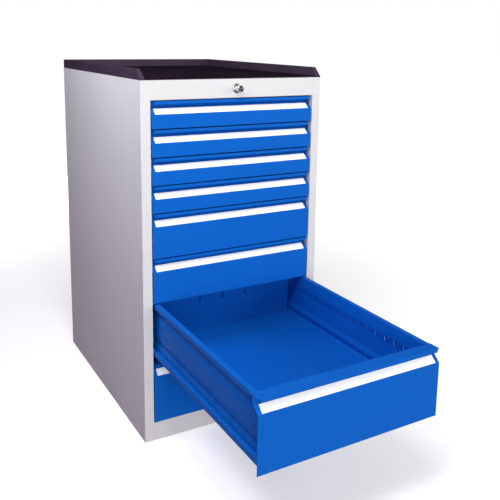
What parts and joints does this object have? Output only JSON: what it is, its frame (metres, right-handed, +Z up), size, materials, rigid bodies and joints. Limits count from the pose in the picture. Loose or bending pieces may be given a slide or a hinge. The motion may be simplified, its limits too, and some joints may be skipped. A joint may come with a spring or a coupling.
{
  "type": "drawer cabinet",
  "caption": "Free-standing steel workshop cabinet with a stack of fully extending drawers, grip lips, label strips, a central push lock and a rimmed top tray.",
  "frame": {"origin": "centre of the casing's base face, on the floor", "axes": "+Z up, -Y out of the drawer fronts, +X to the right of someone facing the fronts"},
  "size_m": [0.555, 1.297, 1.033],
  "materials": {
    "casing_grey": "light grey powder coat, fine satin",
    "drawer_blue": "blue powder coat, satin",
    "label_white": "white card under clear film",
    "zinc_steel": "zinc-plated rolled steel",
    "roller_black": "moulded nylon",
    "tray_black": "textured moulding",
    "mat_rubber": "ribbed rubber",
    "lock_chrome": "polished plating"
  },
  "bodies": {
    "cabinet": {"casing_side_left": "casing_grey", "casing_side_right": "casing_grey", "casing_back": "casing_grey", "casing_top": "casing_grey", "casing_base": "casing_grey", "band_high": "casing_grey", "band_low": "casing_grey", "rail_posts": "zinc_steel", "rails_left": "zinc_steel", "rails_right": "zinc_steel", "rail_rollers": "roller_black", "top_tray": "tray_black", "top_mat": "mat_rubber", "lock_housing": "lock_chrome", "lock_guides": "zinc_steel"},
    "lock_push": {"lock_cylinder": "lock_chrome"},
    "lock_turn": {"lock_plug": "lock_chrome"},
    "lock_bars": {"lock_crossbar": "zinc_steel", "lock_bar": "zinc_steel"},
    "drawer_1": {"drawer_1_front": "drawer_blue", "drawer_1_label": "label_white", "drawer_1_tray": "drawer_blue", "drawer_1_sides": "drawer_blue"},
    "runner_1": {"drawer_1_runners": "zinc_steel"},
    "drawer_2": {"drawer_2_front": "drawer_blue", "drawer_2_label": "label_white", "drawer_2_tray": "drawer_blue", "drawer_2_sides": "drawer_blue"},
    "runner_2": {"drawer_2_runners": "zinc_steel"},
    "drawer_3": {"drawer_3_front": "drawer_blue", "drawer_3_label": "label_white", "drawer_3_tray": "drawer_blue", "drawer_3_sides": "drawer_blue"},
    "runner_3": {"drawer_3_runners": "zinc_steel"},
    "drawer_4": {"drawer_4_front": "drawer_blue", "drawer_4_label": "label_white", "drawer_4_tray": "drawer_blue", "drawer_4_sides": "drawer_blue"},
    "runner_4": {"drawer_4_runners": "zinc_steel"},
    "drawer_5": {"drawer_5_front": "drawer_blue", "drawer_5_label": "label_white", "drawer_5_tray": "drawer_blue", "drawer_5_sides": "drawer_blue"},
    "runner_5": {"drawer_5_runners": "zinc_steel"},
    "drawer_6": {"drawer_6_front": "drawer_blue", "drawer_6_label": "label_white", "drawer_6_tray": "drawer_blue", "drawer_6_sides": "drawer_blue"},
    "runner_6": {"drawer_6_runners": "zinc_steel"},
    "drawer_7": {"drawer_7_front": "drawer_blue", "drawer_7_label": "label_white", "drawer_7_tray": "drawer_blue", "drawer_7_sides": "drawer_blue"},
    "runner_7": {"drawer_7_runners": "zinc_steel"},
    "drawer_8": {"drawer_8_front": "drawer_blue", "drawer_8_label": "label_white", "drawer_8_tray": "drawer_blue", "drawer_8_sides": "drawer_blue"},
    "runner_8": {"drawer_8_runners": "zinc_steel"}
  },
  "joints": [
    {"name": "drawer_1_slide", "type": "slide", "parent": "cabinet", "child": "drawer_1", "axis": [0, -1, 0], "range_m": [0, 0.6]},
    {"name": "runner_1_slide", "type": "slide", "parent": "cabinet", "child": "runner_1", "axis": [0, -1, 0], "range_m": [0, 0.3]},
    {"name": "drawer_2_slide", "type": "slide", "parent": "cabinet", "child": "drawer_2", "axis": [0, -1, 0], "range_m": [0, 0.6]},
    {"name": "runner_2_slide", "type": "slide", "parent": "cabinet", "child": "runner_2", "axis": [0, -1, 0], "range_m": [0, 0.3]},
    {"name": "drawer_3_slide", "type": "slide", "parent": "cabinet", "child": "drawer_3", "axis": [0, -1, 0], "range_m": [0, 0.6]},
    {"name": "runner_3_slide", "type": "slide", "parent": "cabinet", "child": "runner_3", "axis": [0, -1, 0], "range_m": [0, 0.3]},
    {"name": "drawer_4_slide", "type": "slide", "parent": "cabinet", "child": "drawer_4", "axis": [0, -1, 0], "range_m": [0, 0.6]},
    {"name": "runner_4_slide", "type": "slide", "parent": "cabinet", "child": "runner_4", "axis": [0, -1, 0], "range_m": [0, 0.3]},
    {"name": "drawer_5_slide", "type": "slide", "parent": "cabinet", "child": "drawer_5", "axis": [0, -1, 0], "range_m": [0, 0.6]},
    {"name": "runner_5_slide", "type": "slide", "parent": "cabinet", "child": "runner_5", "axis": [0, -1, 0], "range_m": [0, 0.3]},
    {"name": "drawer_6_slide", "type": "slide", "parent": "cabinet", "child": "drawer_6", "axis": [0, -1, 0], "range_m": [0, 0.6]},
    {"name": "runner_6_slide", "type": "slide", "parent": "cabinet", "child": "runner_6", "axis": [0, -1, 0], "range_m": [0, 0.3]},
    {"name": "drawer_7_slide", "type": "slide", "parent": "cabinet", "child": "drawer_7", "axis": [0, -1, 0], "range_m": [-0.561, 0.039]},
    {"name": "runner_7_slide", "type": "slide", "parent": "cabinet", "child": "runner_7", "axis": [0, -1, 0], "range_m": [-0.2805, 0.0195]},
    {"name": "drawer_8_slide", "type": "slide", "parent": "cabinet", "child": "drawer_8", "axis": [0, -1, 0], "range_m": [0, 0.6]},
    {"name": "runner_8_slide", "type": "slide", "parent": "cabinet", "child": "runner_8", "axis": [0, -1, 0], "range_m": [0, 0.3]},
    {"name": "lock_push_slide", "type": "slide", "parent": "cabinet", "child": "lock_push", "axis": [0, 1, 0], "range_m": [0, 0.01], "stiffness_N_per_m": 400, "springref_m": -0.02},
    {"name": "lock_turn_hinge", "type": "hinge", "parent": "lock_push", "child": "lock_turn", "pos_m": [0, -0.394, 0.979], "axis": [0, 1, 0], "range_deg": [0, 90]},
    {"name": "lock_bars_slide", "type": "slide", "parent": "cabinet", "child": "lock_bars", "axis": [-1, 0, 0], "range_m": [0, 0.01]}
  ],
  "couplings": [
    {"joint": "runner_1_slide", "follows": "drawer_1_slide", "ratio": 0.5},
    {"joint": "runner_2_slide", "follows": "drawer_2_slide", "ratio": 0.5},
    {"joint": "runner_3_slide", "follows": "drawer_3_slide", "ratio": 0.5},
    {"joint": "runner_4_slide", "follows": "drawer_4_slide", "ratio": 0.5},
    {"joint": "runner_5_slide", "follows": "drawer_5_slide", "ratio": 0.5},
    {"joint": "runner_6_slide", "follows": "drawer_6_slide", "ratio": 0.5},
    {"joint": "runner_7_slide", "follows": "drawer_7_slide", "ratio": 0.5},
    {"joint": "runner_8_slide", "follows": "drawer_8_slide", "ratio": 0.5},
    {"joint": "lock_bars_slide", "follows": "lock_push_slide", "ratio": 1}
  ]
}
